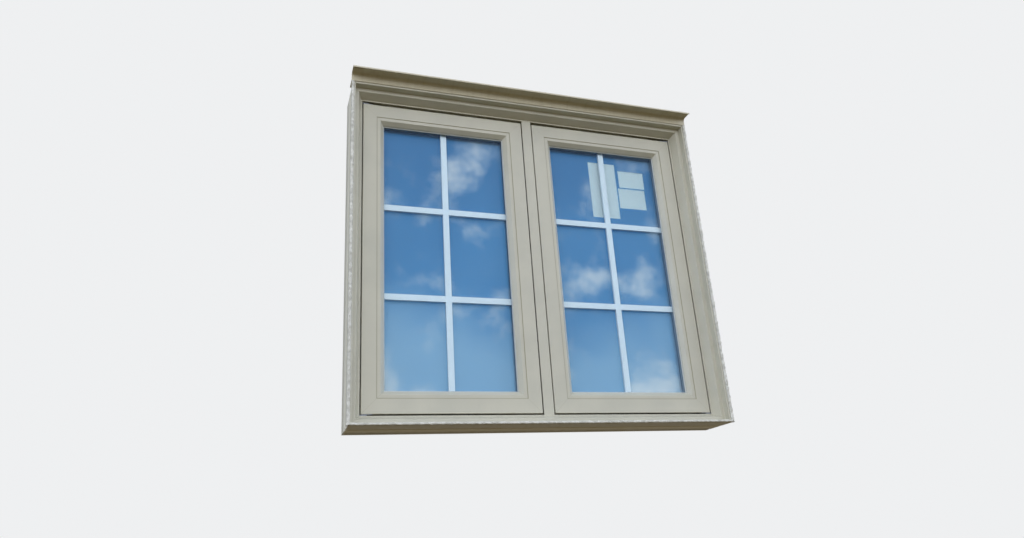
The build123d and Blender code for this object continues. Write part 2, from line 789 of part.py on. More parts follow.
def operator_cover():
    """Moulded cover over the operator, drafted and hollow, with a hole for the crank boss."""
    low_x = POCKET_LOW_X - BASE_LOW_END - COVER_GAP
    high_x = POCKET_HIGH_X + BASE_HIGH_END + COVER_GAP
    centre_x = (low_x + high_x) / 2
    centre_y = (POCKET_FRONT + POCKET_BACK) / 2
    inner_length = high_x - low_x
    inner_width = POCKET_BACK - POCKET_FRONT

    def shell_form(wall):
        length = inner_length + 2 * wall
        width = inner_width + 2 * wall
        corner = COVER_CORNER + wall
        top = LEDGE + COVER_HEIGHT - COVER_WALL + wall
        foot = Pos(centre_x, centre_y, LEDGE) * RectangleRounded(length, width, corner)
        crown = RectangleRounded(length - 2 * COVER_DRAFT, width - COVER_DRAFT, corner)
        return loft([foot, Pos(centre_x, centre_y, top) * crown])

    outer = shell_form(COVER_WALL)
    outer = fillet(outer.faces().sort_by(Axis.Z)[-1].edges(), 2.0)
    hole = rod(CRANK_ROOT, CRANK_AXIS, CRANK_BOSS_RADIUS + SEAT_GAP, CRANK_BOSS_LENGTH + 10)
    return outer - shell_form(0) - hole


def operator_arm():
    """Steel arm from the operator's pin to the shoe under the sash's track."""
    pivot = (ARM_PIVOT_X, ARM_PIVOT_Y)
    shoe = (SHOE_X, SHOE_Y)
    middle = ((pivot[0] + shoe[0]) / 2, (pivot[1] + shoe[1]) / 2)
    outline = (
        stadium(pivot, middle, ARM_WIDTH)
        + stadium(middle, shoe, ARM_WIDTH - 2)
        + Pos(*pivot) * Circle(ARM_HUB_RADIUS)
        - Pos(*pivot) * Circle(ARM_PIN_RADIUS + RUNNING_FIT)
    )
    arm = Pos(0, 0, ARM_BOTTOM) * extrude(outline, ARM_THICKNESS)
    rise = SASH_BOTTOM + TRACK_HANG - SEAT_GAP - ARM_TOP
    return arm + rod((SHOE_X, SHOE_Y, ARM_TOP), (0, 0, 1), SHOE_RADIUS, rise)


def arm_track():
    """Channel under the sash's bottom rail that the arm's shoe runs along."""
    x0 = PIVOT_X - TRACK_END
    x1 = PIVOT_X - TRACK_START
    y0 = TRACK_Y - TRACK_WIDTH / 2
    y1 = TRACK_Y + TRACK_WIDTH / 2
    low = SASH_BOTTOM + TRACK_HANG
    high = SASH_BOTTOM + REAR_INSET
    channel = block(x0, x1, y0, y1, low, high)
    hollow = block(x0 - 1, x1 + 1, y0 + TRACK_WALL, y1 - TRACK_WALL, low - 1, high - TRACK_WALL)
    return drilled(channel - hollow, track_screw_places())


def crank_plane(distance):
    """Plane square to the crank's axis, local X across the window."""
    return Plane(origin=along_crank(distance), x_dir=(1, 0, 0), z_dir=CRANK_AXIS)


def crank_handle():
    """Crank: spindle in the boss, hub, tapered arm and the pin of the knob."""
    hub_start = CRANK_BOSS_LENGTH + CRANK_GAP
    spindle = rod(
        along_crank(CRANK_BOSS_LENGTH - SPINDLE_DEPTH),
        CRANK_AXIS,
        SPINDLE_RADIUS,
        SPINDLE_DEPTH + CRANK_GAP + 1,
    )
    hub = rod(along_crank(hub_start), CRANK_AXIS, CRANK_HUB_RADIUS, CRANK_HUB_LENGTH)
    hub = fillet(hub.edges().filter_by(GeomType.CIRCLE).sort_by(Axis.Z)[-1], 2.0)
    arm_start = hub_start + CRANK_HUB_LENGTH - CRANK_ARM_THICKNESS - 2
    outline = make_hull(
        (Circle(CRANK_HUB_RADIUS - 1) + Pos(-CRANK_THROW, 0) * Circle(CRANK_HUB_RADIUS - 2.5)).edges()
    )
    arm = crank_plane(arm_start) * extrude(outline, CRANK_ARM_THICKNESS)
    arm = fillet(arm.faces().sort_by(SortBy.AREA)[-1].edges(), 1.2)
    pin_plane = crank_plane(arm_start + CRANK_ARM_THICKNESS)
    low = (Align.CENTER, Align.CENTER, Align.MIN)
    pin = pin_plane * Pos(-CRANK_THROW, 0, -1) * Cylinder(KNOB_PIN_RADIUS, KNOB_LENGTH - 3, align=low)
    return spindle + hub + arm + pin


def crank_knob():
    """Turned knob that spins on the crank's pin."""
    radius = KNOB_RADIUS
    length = KNOB_LENGTH
    profile = [
        (0, 0),
        (radius * 0.72, 0, 0.8),
        (radius * 0.72, length * 0.12, 1.0),
        (radius, length * 0.6, 3.0),
        (radius * 0.86, length, 3.0),
        (0, length),
    ]
    body = revolve(Plane.XZ * section(profile), axis=Axis.Z)
    bore = Pos(0, 0, -1) * Cylinder(
        KNOB_PIN_RADIUS + RUNNING_FIT, KNOB_LENGTH - 2, align=(Align.CENTER, Align.CENTER, Align.MIN)
    )
    arm_top = CRANK_BOSS_LENGTH + CRANK_GAP + CRANK_HUB_LENGTH - 2
    return crank_plane(arm_top + SEAT_GAP) * Pos(-CRANK_THROW, 0, 0) * (body - bore)


# Multi-point lock


def lock_plate():
    """Cover plate on the mullion with the slot that the lever swings in."""
    half = LOCK_PLATE_WIDTH / 2
    plate = block(
        LEVER_X - half,
        LEVER_X + half,
        ROOM_FACE,
        ROOM_FACE + LOCK_PLATE,
        LEVER_Z - LOCK_PLATE_HEIGHT / 2,
        LEVER_Z + LOCK_PLATE_HEIGHT / 2,
    )
    plate = fillet(plate.edges().filter_by(Axis.Y), 5)
    slot = block(
        LEVER_X - LEVER_THICKNESS / 2 - 1,
        LEVER_X + LEVER_THICKNESS / 2 + 1,
        ROOM_FACE - 1,
        ROOM_FACE + LOCK_PLATE + 1,
        LEVER_Z - LOCK_SLOT_HEIGHT / 2,
        LEVER_Z + LOCK_SLOT_HEIGHT / 2,
    )
    return drilled(plate - slot, lock_screw_places())


def polar(length, angle):
    """Point at a distance and an angle from the room's direction towards up."""
    return (length * cos(radians(angle)), length * sin(radians(angle)))


def lock_lever():
    """Lock lever at rest, closed but unlocked: neck through the plate, grip, inner arm and pins."""
    neck = polar(LEVER_NECK_LENGTH, LEVER_ANGLE)
    grip = polar(LEVER_GRIP_LENGTH, LEVER_GRIP_ANGLE)
    tip = (neck[0] + grip[0], neck[1] + grip[1])
    drive = polar(-LEVER_INNER, LEVER_ANGLE)
    side_view = Plane(
        origin=(LEVER_X - LEVER_THICKNESS / 2, LEVER_PIVOT_BACK, LEVER_Z), x_dir=(0, 1, 0), z_dir=(1, 0, 0)
    )
    outline = (
        stadium((0, 0), neck, LEVER_WIDTH)
        + stadium(neck, tip, LEVER_WIDTH)
        + stadium((0, 0), drive, LEVER_WIDTH - 1)
        + Circle(LEVER_WIDTH * 0.8)
    )
    blade = side_view * extrude(outline, LEVER_THICKNESS)
    start = (neck[0] + 0.35 * grip[0], neck[1] + 0.35 * grip[1])
    handle = extrude(stadium(start, tip, GRIP_WIDTH), GRIP_THICKNESS / 2, both=True)
    handle = fillet(handle.edges(), GRIP_CORNER)
    handle = side_view * Pos(0, 0, LEVER_THICKNESS / 2) * handle
    pivot = rod(
        (LEVER_X, LEVER_PIVOT_BACK, LEVER_Z),
        (1, 0, 0),
        LEVER_PIN_RADIUS,
        NECK_FACE + LOCK_SLOT_WIDTH - LEVER_X + LEVER_PIN_SEAT,
    )
    drive_start = (LEVER_X, LEVER_PIVOT_BACK + drive[0], LEVER_Z + drive[1])
    drive_pin = rod(drive_start, (-1, 0, 0), DRIVE_PIN_RADIUS, LEVER_X - TIE_BAR_X - SEAT_GAP)
    return blade + handle + pivot + drive_pin


def tie_bar():
    """Tie bar at rest, unlocked: flat bar on the mullion's neck, tab for the lever, holes for the pins."""
    drive_drop = LEVER_INNER * sin(radians(LEVER_ANGLE))
    drive_near = LEVER_INNER * cos(radians(LEVER_ANGLE))
    slot_z = LEVER_Z - drive_drop
    bar_back = TIE_BAR_FRONT + TIE_BAR_WIDTH
    bar = block(
        TIE_BAR_X,
        TIE_BAR_FACE,
        TIE_BAR_FRONT,
        bar_back,
        SASH_BOTTOM + TIE_BAR_BOTTOM,
        SASH_BOTTOM + TIE_BAR_TOP,
    )
    tab = block(
        TIE_BAR_X,
        TIE_BAR_FACE,
        bar_back,
        LEVER_PIVOT_BACK + 1.5,
        slot_z - TAB_HALF,
        slot_z + TAB_HALF,
    )
    slot_view = Plane(origin=(TIE_BAR_X - 1, 0, slot_z), x_dir=(0, 1, 0), z_dir=(1, 0, 0))
    near = (LEVER_PIVOT_BACK - LEVER_INNER, 0)
    far = (LEVER_PIVOT_BACK - drive_near, 0)
    slot = slot_view * extrude(stadium(near, far, 2 * DRIVE_SLOT_HALF), TIE_BAR_THICKNESS + 2)
    piece = bar + tab - slot
    for height in LOCK_PINS:
        start = (TIE_BAR_X - 1, LOCK_PIN_Y, SASH_BOTTOM + height)
        piece -= rod(start, (1, 0, 0), LOCK_SHANK_RADIUS + RUNNING_FIT, TIE_BAR_THICKNESS + 2)
    return piece


def lock_pins():
    """Lock pins: turned studs whose shanks are riveted into the tie bar."""
    pins = []
    for height in LOCK_PINS:
        shoulder = (TIE_BAR_FACE + RUNNING_FIT, LOCK_PIN_Y, SASH_BOTTOM + height)
        pin = rod(shoulder, (1, 0, 0), LOCK_PIN_RADIUS, LOCK_PIN_END - TIE_BAR_FACE)
        shank = rod(shoulder, (-1, 0, 0), LOCK_SHANK_RADIUS, TIE_BAR_THICKNESS + RUNNING_FIT)
        pins.append(pin + shank)
    return Compound(children=pins)


def tie_bar_guides():
    """Moulded clips that hold the tie bar against the mullion's neck."""
    clips = []
    front = TIE_BAR_FRONT - GUIDE_WALL - SEAT_GAP
    back = TIE_BAR_FRONT + TIE_BAR_WIDTH + GUIDE_WALL + SEAT_GAP
    for height in GUIDES:
        low = SASH_BOTTOM + height
        high = low + GUIDE_LENGTH
        clip = block(NECK_FACE, TIE_BAR_FACE + SEAT_GAP + GUIDE_WALL, front, back, low, high)
        way = block(
            NECK_FACE - 1, TIE_BAR_FACE + SEAT_GAP, front + GUIDE_WALL, back - GUIDE_WALL, low - 1, high + 1
        )
        clips.append(clip - way)
    return Compound(children=clips)


def lock_keepers():
    """Keepers on the sash's stile; each hook lies behind the raised lock pin."""
    face = SASH_INNER + REAR_INSET
    hook_front = LOCK_PIN_Y + LOCK_PIN_RADIUS + SEAT_GAP
    hook_back = hook_front + KEEPER_HOOK
    keepers = []
    for height in LOCK_PINS:
        pin = SASH_BOTTOM + height
        low = pin + KEEPER_START
        high = pin + KEEPER_END
        plate = block(face - KEEPER_PLATE, face, LOCK_PIN_Y - 6, hook_back + 1, low, high)
        hook = section(
            [
                (hook_front, pin + HOOK_START + 6),
                (hook_front + KEEPER_HOOK / 2, pin + HOOK_START),
                (hook_back, pin + HOOK_START),
                (hook_back, pin + HOOK_END),
                (hook_front, pin + HOOK_END),
            ]
        )
        side_view = Plane(origin=(KEEPER_HOOK_EDGE, 0, 0), x_dir=(0, 1, 0), z_dir=(1, 0, 0))
        keepers.append(plate + side_view * extrude(hook, face - KEEPER_PLATE - KEEPER_HOOK_EDGE))
    return drilled(keepers[0] + keepers[1], keeper_screw_places())


def both_sides():
    """Nodes that each sash and its hardware have once, drawn for the right."""
    sash_screws = pivot_screw_places() + track_screw_places() + keeper_screw_places()
    frame_screws = bracket_screw_places() + operator_screw_places() + lock_screw_places()
    inner_front = GLASS_FACE + PANE + CAVITY
    return {
        "weatherstrip": weatherstrip(),
        "sash_frame": sash_frame(),
        "glazing_beads": glazing_beads(),
        "outer_gasket": outer_gasket(),
        "outer_pane": pane(GLASS_FACE),
        "inner_pane": pane(inner_front),
        "edge_spacer": edge_spacer(),
        "glazing_tape": glazing_tape(),
        "setting_blocks": setting_blocks(),
        "grille": grille(),
        "top_pivot_bracket": pivot_bracket(True),
        "bottom_pivot_bracket": pivot_bracket(False),
        "pivot_plates": Compound(children=[pivot_plate(True), pivot_plate(False)]),
        "operator_base": operator_base(),
        "operator_cover": operator_cover(),
        "operator_arm": operator_arm(),
        "arm_track": arm_track(),
        "crank_handle": crank_handle(),
        "crank_knob": crank_knob(),
        "lock_plate": lock_plate(),
        "lock_lever": lock_lever(),
        "tie_bar": tie_bar(),
        "lock_pins": lock_pins(),
        "tie_bar_guides": tie_bar_guides(),
        "lock_keepers": lock_keepers(),
        "sash_screws": Compound(children=[screw(place) for place in sash_screws]),
        "frame_screws": Compound(children=[screw(place) for place in frame_screws]),
    }


def once():
    """Nodes that the window has once."""
    return {
        "main_frame": main_frame(),
        "mullion": mullion(),
        "head_flashing": head_flashing(),
        "perimeter_sealant": perimeter_sealant(),
        "flashing_screws": Compound(children=[screw(place) for place in flashing_screw_places()]),
        "glass_labels": glass_labels(),
    }


def write_parts():
    """Write one STEP file for each node."""
    os.makedirs("parts", exist_ok=True)
    nodes = once()
    for name, shape in both_sides().items():
        nodes[name + "_right"] = shape
        nodes[name + "_left"] = mirror(shape, about=Plane.YZ)
    for name, shape in nodes.items():
        export_step(shape, "parts/" + name + ".step")
    print(len(nodes), "nodes")


write_parts()
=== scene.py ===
# %% [markdown]
# A twin casement window, dressed
#
# The window comes in as a finished CAD model: a welded plastic frame, two side-hung sashes with sealed
# glazing, a folded flashing and the cranks and locks behind. Blender adds what the eye meets first: the
# finish of every surface, the hand-tooled bead of sealant and black strips of painted shade in the lock
# slots. The CAD pieces stay where they are.

import bpy
import numpy as np
from mathutils import Matrix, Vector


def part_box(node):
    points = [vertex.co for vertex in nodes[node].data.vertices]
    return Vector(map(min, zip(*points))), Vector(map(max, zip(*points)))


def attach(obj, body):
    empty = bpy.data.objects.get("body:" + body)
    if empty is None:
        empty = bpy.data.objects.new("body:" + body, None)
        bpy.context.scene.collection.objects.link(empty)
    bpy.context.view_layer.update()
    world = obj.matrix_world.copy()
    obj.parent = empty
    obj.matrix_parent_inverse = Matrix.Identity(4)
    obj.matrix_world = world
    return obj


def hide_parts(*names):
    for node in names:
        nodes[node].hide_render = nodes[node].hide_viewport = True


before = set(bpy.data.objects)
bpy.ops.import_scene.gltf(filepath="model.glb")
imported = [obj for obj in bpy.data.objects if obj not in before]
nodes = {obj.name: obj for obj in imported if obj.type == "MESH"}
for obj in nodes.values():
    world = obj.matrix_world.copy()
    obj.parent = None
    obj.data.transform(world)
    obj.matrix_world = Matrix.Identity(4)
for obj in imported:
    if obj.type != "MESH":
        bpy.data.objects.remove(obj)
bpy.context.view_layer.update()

# %% [markdown]
# The sizes that the finishes need, in metres. They are the same as the window's own: the welds and the
# lines left by extrusion follow these rectangles.

# %% Sizes of the rings
SASH_INNER = 0.019
SASH_OUTER = 0.527
SASH_BOTTOM = 0.039
SASH_TOP = 0.985
LIP_SIDE = 0.5305
LIP_BOTTOM = 0.0345
LIP_TOP = 0.994
FRAME_SIDE = 0.565
FRAME_TOP = 1.0285
OUTSIDE_FACE = -0.051
GLASS_INSET = 0.062

SASH_MIDDLE_X = (SASH_INNER + SASH_OUTER) / 2
SASH_MIDDLE_Z = (SASH_BOTTOM + SASH_TOP) / 2
SASH_HALF = ((SASH_OUTER - SASH_INNER) / 2, (SASH_TOP - SASH_BOTTOM) / 2)
FRAME_MIDDLE_Z = (LIP_BOTTOM + LIP_TOP) / 2
FRAME_HALF = (LIP_SIDE, (LIP_TOP - LIP_BOTTOM) / 2)
print("sash centre:", SASH_MIDDLE_X, SASH_MIDDLE_Z)

# %% [markdown]
# The camera stands below the sill and to the left, close to the wall, with a wide lens. Its place and
# turn were worked out from the corners of the frame and the bars in the photograph. The turn is a
# rotation vector: its direction is the axis and its length the angle, away from facing the wall squarely.

# %% Camera
PHOTO_WIDTH = 1024
FOCAL_PIXELS = 741.45
SENSOR = 36.0
CAMERA_PLACE = (-0.7893, -1.9506, -0.3211)
CAMERA_TURN = (-0.372249, -0.331126, -0.003190)
FACING_WALL = np.array([[1, 0, 0], [0, 0, -1], [0, 1, 0]])


def turn_matrix(vector):
    """Rodrigues' formula: identity + sin(angle) K + (1 - cos(angle)) K K.

    K is the matrix that takes a vector's cross product with the axis.
    """
    angle = np.linalg.norm(vector)
    x, y, z = np.array(vector) / angle
    cross = np.array([[0, -z, y], [z, 0, -x], [-y, x, 0]])
    return np.eye(3) + np.sin(angle) * cross + (1 - np.cos(angle)) * cross @ cross


right, down, ahead = turn_matrix(CAMERA_TURN) @ FACING_WALL
camera_data = bpy.data.cameras.new("camera")
camera_data.sensor_width = SENSOR
camera_data.lens = FOCAL_PIXELS / PHOTO_WIDTH * SENSOR
camera = bpy.data.objects.new("camera", camera_data)
bpy.context.scene.collection.objects.link(camera)
columns = np.array([right, -down, -ahead]).T
camera.matrix_world = Matrix.Translation(CAMERA_PLACE) @ Matrix(columns.tolist()).to_4x4()
bpy.context.scene.camera = camera
print("lens", round(camera_data.lens, 2), "mm")

# %% [markdown]
# A node tree reads like a sentence when each node is one line. These helpers add a node, feed its
# inputs with numbers or with other nodes' outputs, and do plain arithmetic.


# %% Node helpers
def node(tree, kind, values=None, **settings):
    """Add a node. A value is a number or colour for an input, or the output socket that feeds it."""
    new = tree.nodes.new(kind)
    for name, value in settings.items():
        setattr(new, name, value)
    for name, value in (values or {}).items():
        if isinstance(value, bpy.types.NodeSocket):
            tree.links.new(value, new.inputs[name])
        else:
            new.inputs[name].default_value = value
    return new


def calc(tree, operation, first, second=0.0, third=0.0):
    """One arithmetic step on numbers or sockets."""
    return node(tree, "ShaderNodeMath", {0: first, 1: second, 2: third}, operation=operation).outputs[0]


def mix_colour(tree, share, first, second):
    """Colour that goes from first to second as share goes from 0 to 1."""
    colours = {"Factor": share, "A": first, "B": second}
    new = node(tree, "ShaderNodeMix", data_type="RGBA")
    for name, value in colours.items():
        socket = [s for s in new.inputs if s.name == name and s.enabled][0]
        if isinstance(value, bpy.types.NodeSocket):
            tree.links.new(value, socket)
        else:
            socket.default_value = value
    return [s for s in new.outputs if s.enabled][0]


def between(tree, value, low, high, start=0.0, end=1.0):
    """Smooth step of a value from low to high, given out from start to end."""
    step = node(
        tree,
        "ShaderNodeMapRange",
        {"Value": value, "From Min": low, "From Max": high, "To Min": start, "To Max": end},
        interpolation_type="SMOOTHSTEP",
    )
    return step.outputs["Result"]


print("node helpers: node, calc, mix_colour, between")

# %% [markdown]
# Real surfaces are never even. Noise over a point's own coordinates gives clouds, grain and dust without
# any picture, and a bump turns the same pattern into shallow relief. That relief is in the shading alone,
# so the CAD meshes stay as they are.


# %% Patterns and relief
def noise(tree, place, scale, detail=3.0, roughness=0.5):
    """Cloudy pattern from 0 to 1 over the given coordinates."""
    values = {"Vector": place, "Scale": scale, "Detail": detail, "Roughness": roughness}
    return node(tree, "ShaderNodeTexNoise", values).outputs["Fac"]


def parts_of(tree, place):
    """The x, y and z of a point."""
    split = node(tree, "ShaderNodeSeparateXYZ", {0: place})
    return [split.outputs[axis] for axis in "XYZ"]


def bump(tree, target, height, strength, depth):
    """Relief of the given depth in metres on a shader."""
    relief = node(tree, "ShaderNodeBump", {"Height": height, "Strength": strength, "Distance": depth})
    tree.links.new(relief.outputs[0], target.inputs["Normal"])


print("pattern helpers: noise, parts_of, bump")

# %% [markdown]
# Every finish starts the same way: a material, its shader, and the place of each point on its own object,
# so that a pattern stays with its piece when the sash swings. A finish is then put on pieces by their
# names, and most pieces come in pairs.


# %% Starting and using a finish
def finish_start(name):
    """New material with its tree, its shader and the place of each point on the object."""
    material = bpy.data.materials.new(name)
    material.use_nodes = True
    tree = material.node_tree
    shader = tree.nodes["Principled BSDF"]
    place = node(tree, "ShaderNodeTexCoord").outputs["Object"]
    return material, tree, shader, place


def dress(names, material):
    """Give CAD nodes a finish, in every material slot that they have."""
    for name in names:
        for slot in nodes[name].material_slots:
            slot.material = material
    print(material.name, "on", ", ".join(names))


def sides(*names):
    """Each name with its right and left ending."""
    return [name + side for name in names for side in ("_right", "_left")]


print("CAD nodes to dress:", len(nodes))

# %% [markdown]
# Extruded plastic is pushed hot through a die, so it carries very faint lines along its length, a satin
# skin and a slight waviness. Outdoors it gathers a little dust. The mullion is one straight extrusion, so
# its lines run up and down.

# %% Plastic skin and the mullion
SANDSTONE = (0.545, 0.52, 0.405, 1)
SANDSTONE_GREY = (0.505, 0.485, 0.38, 1)
TONE_SCALE = 9.0
TONE_SPAN = (0.35, 0.7)
DUST = (0.36, 0.33, 0.23, 1)
DUST_SCALE = 60.0
DUST_SPAN = (0.55, 0.85)
DUST_SHARE = 0.16
# grime in the weld hairlines, and painted shade in the bead joints
GRIME_AND_PAINTED_SHADE = (0.33, 0.30, 0.20, 1)
GRIME_AND_SHADE_SHARE = 0.45
GRIME_ROUGHNESS = 0.2
STREAK_SHARE = 0.05
STREAK_SCALE = 900.0
STREAK_STRETCH = 0.012
ROUGH_SPAN = (0.3, 0.8)
SATIN = (0.30, 0.46)
PEEL_SCALE = 700.0
RIDGE_HEIGHT = 0.2
PEEL_HEIGHT = 0.35
SEAM_HEIGHT = 3.0
SKIN_STRENGTH = 0.35
SKIN_DEPTH = 0.00008


def die_lines(tree, across, depth, run):
    """Streaks that are fine across an extrusion and long along it."""
    stretched = calc(tree, "MULTIPLY", run, STREAK_STRETCH)
    along = node(tree, "ShaderNodeCombineXYZ", {"X": across, "Y": depth, "Z": stretched}).outputs[0]
    return noise(tree, along, STREAK_SCALE, detail=2.0)


def skin(tree, shader, tones, streaks, seam, place):
    """Satin skin's colour, roughness and relief; seam is 0 off joints, 1 or more in them: grime, painted
    shadow.
    """
    clouds = noise(tree, place, TONE_SCALE, detail=4.0)
    dust = noise(tree, place, DUST_SCALE, detail=5.0, roughness=0.65)
    pale = mix_colour(tree, between(tree, clouds, *TONE_SPAN), *tones)
    lined = mix_colour(tree, calc(tree, "MULTIPLY", streaks, STREAK_SHARE), pale, tones[1])
    dusty = mix_colour(tree, between(tree, dust, *DUST_SPAN, 0.0, DUST_SHARE), lined, DUST)
    joined = mix_colour(tree, calc(tree, "MULTIPLY", seam, GRIME_AND_SHADE_SHARE), dusty, GRIME_AND_PAINTED_SHADE)
    tree.links.new(joined, shader.inputs["Base Color"])
    grimy = calc(tree, "MULTIPLY", seam, GRIME_ROUGHNESS)
    rough = calc(tree, "ADD", between(tree, dust, *ROUGH_SPAN, *SATIN), grimy)
    tree.links.new(rough, shader.inputs["Roughness"])
    ridges = calc(tree, "MULTIPLY", streaks, RIDGE_HEIGHT)
    peel = calc(tree, "MULTIPLY", noise(tree, place, PEEL_SCALE, detail=1.0), PEEL_HEIGHT)
    groove = calc(tree, "MULTIPLY", seam, SEAM_HEIGHT)
    height = calc(tree, "SUBTRACT", calc(tree, "ADD", ridges, peel), groove)
    bump(tree, shader, height, SKIN_STRENGTH, SKIN_DEPTH)


def straight_plastic(name):
    """Finish of an upright extrusion."""
    material, tree, shader, place = finish_start(name)
    skin(tree, shader, (SANDSTONE, SANDSTONE_GREY), die_lines(tree, *parts_of(tree, place)), 0.0, place)
    return material


dress(["mullion"], straight_plastic("mullion_plastic"))

# %% [markdown]
# The frame and the sashes are rings: four lengths are cut at 45 degrees and welded, which leaves a hairline
# at each corner. One field gives both the lines' direction and the weld: how far a point lies outside the
# ring's sides and how far outside its top or bottom. The larger of the two says which length the point is
# on, and where they are equal is the weld. Between frame and sash, in the recess, painted light makes the
# plastic paler against the shade there, and a painted shadow line runs where the glazing beads clip into
# the sash.

# %% Welded rings
# painted light: the plastic goes paler in the recess between frame and sash, where shade falls
RECESS_PAINTED_LIGHT = (0.75, 0.72, 0.57, 1)
RECESS_LIGHT_FRONT = (0.002, 0.008)
RECESS_LIGHT_BACK = (0.045, 0.053)
RECESS_LIGHT_EDGE = (-0.003, -0.001)
WELD_WIDTH = 0.0009
# painted shadow line along the joint where the glazing beads meet the sash
BEAD_EDGE = 0.0415
BEAD_SHADOW_SPAN = (0.0005, 0.0019)
BEAD_SHADOW_STRENGTH = 1.7
BEAD_SHADOW_DEPTH = (0.006, 0.010)


def ring_field(tree, place, centre, half):
    """Distance outward across the extrusion, depth, place along it and distance from the weld line.

    side = |x - cx| - hx and rise = |z - cz| - hz. across = max(side, rise); weld = |side - rise|.
    """
    x, depth, z = parts_of(tree, place)
    from_x = calc(tree, "SUBTRACT", x, centre[0])
    from_z = calc(tree, "SUBTRACT", z, centre[1])
    side = calc(tree, "SUBTRACT", calc(tree, "ABSOLUTE", from_x), half[0])
    rise = calc(tree, "SUBTRACT", calc(tree, "ABSOLUTE", from_z), half[1])
    across = calc(tree, "MAXIMUM", side, rise)
    weld = calc(tree, "ABSOLUTE", calc(tree, "SUBTRACT", side, rise))
    upright = calc(tree, "GREATER_THAN", side, rise)
    run = calc(tree, "ADD", calc(tree, "MULTIPLY", upright, from_z), calc(tree, "SUBTRACT", 1.0, upright))
    return across, depth, run, weld


def painted_bead_shadow(tree, across, depth):
    """Painted shadow line in the joint between a sash and its beads: near BEAD_EDGE inside the ring, front
    only.
    """
    off = calc(tree, "ABSOLUTE", calc(tree, "ADD", across, BEAD_EDGE))
    line = between(tree, off, *BEAD_SHADOW_SPAN, BEAD_SHADOW_STRENGTH, 0.0)
    return calc(tree, "MULTIPLY", line, between(tree, depth, *BEAD_SHADOW_DEPTH, 1.0, 0.0))


def welded_plastic(name, centre, half, beaded=False):
    """Ring of four welded extrusions: painted light in the recess by the sash, painted shadow at the beads.
    """
    material, tree, shader, place = finish_start(name)
    across, depth, run, weld = ring_field(tree, place, centre, half)
    seam = between(tree, weld, 0.0, WELD_WIDTH, 1.0, 0.0)
    # painted light mask: from just behind the front face to the back of the recess; on beaded rings only at
    # the outer edge
    inside = between(tree, depth, *RECESS_LIGHT_FRONT)
    recess_light = calc(tree, "MULTIPLY", inside, between(tree, depth, *RECESS_LIGHT_BACK, 1.0, 0.0))
    if beaded:
        # the seam also carries the painted shadow line at the beads
        seam = calc(tree, "MAXIMUM", seam, painted_bead_shadow(tree, across, depth))
        recess_light = calc(tree, "MULTIPLY", recess_light, between(tree, across, *RECESS_LIGHT_EDGE))
    tones = [mix_colour(tree, recess_light, tone, RECESS_PAINTED_LIGHT) for tone in (SANDSTONE, SANDSTONE_GREY)]
    skin(tree, shader, tones, die_lines(tree, across, depth, run), seam, place)
    return material


dress(["main_frame"], welded_plastic("frame_plastic", (0, FRAME_MIDDLE_Z), FRAME_HALF))
for side, way in (("right", 1), ("left", -1)):
    centre = (way * SASH_MIDDLE_X, SASH_MIDDLE_Z)
    dress(["sash_frame_" + side], welded_plastic("sash_plastic_" + side, centre, SASH_HALF, beaded=True))
    dress(["glazing_beads_" + side], welded_plastic("bead_plastic_" + side, centre, SASH_HALF, beaded=True))

# %% [markdown]
# The flashing over the head is thin sheet with baked paint. Paint flows before it sets, so its relief is
# soft and wide, like orange peel, and rain leaves it a little streaked.

# %% Painted sheet
FLASHING = (0.565, 0.515, 0.365, 1)
FLASHING_STREAK = (0.48, 0.43, 0.285, 1)
RAIN_STRETCH = (1.0, 0.15, 0.15)
RAIN_SCALE = 90.0
RAIN_SPAN = (0.45, 0.75)
RAIN_SHARE = 0.6
PAINT_ROUGHNESS = (0.32, 0.5)
ORANGE_PEEL_SCALE = 420.0
PAINT_STRENGTH = 0.25
PAINT_DEPTH = 0.0001


def painted_sheet(name, colour, streak):
    """Baked paint: wide soft relief, faint rain streaks, low gloss."""
    material, tree, shader, place = finish_start(name)
    stretch = node(tree, "ShaderNodeMapping", {"Vector": place, "Scale": RAIN_STRETCH}).outputs[0]
    rain = noise(tree, stretch, RAIN_SCALE, detail=4.0, roughness=0.6)
    shade = mix_colour(tree, between(tree, rain, *RAIN_SPAN, 0.0, RAIN_SHARE), colour, streak)
    tree.links.new(shade, shader.inputs["Base Color"])
    tree.links.new(between(tree, rain, *ROUGH_SPAN, *PAINT_ROUGHNESS), shader.inputs["Roughness"])
    peel = noise(tree, place, ORANGE_PEEL_SCALE, detail=1.5)
    bump(tree, shader, peel, PAINT_STRENGTH, PAINT_DEPTH)
    return material


dress(["head_flashing"], painted_sheet("flashing_paint", FLASHING, FLASHING_STREAK))

# %% [markdown]
# The glazing unit has two panes. The outer one is clear: most light goes straight through and a little is
# mirrored, more at a glancing angle. Schlick's rule says how much: F0 + (1 - F0) (1 - cos a)^5, the same
# from both faces, so a ray never gets trapped inside the thin glass. Blender gives 1 - cos a as the Facing
# output of Layer Weight, when its blend is one half.

# %% Clear outer pane
CLEAR_TINT = (0.98, 0.995, 0.99, 1)
MIRROR_TINT = (0.5, 0.72, 1.0, 1)
MIRROR_ROUGHNESS = 0.015
GLOSS_AHEAD = 0.03
PLAIN_BLEND = 0.5
SCHLICK_POWER = 5.0
WAVE_SCALE = 7.0
WAVE_STRENGTH = 0.2
WAVE_DEPTH = 0.0005


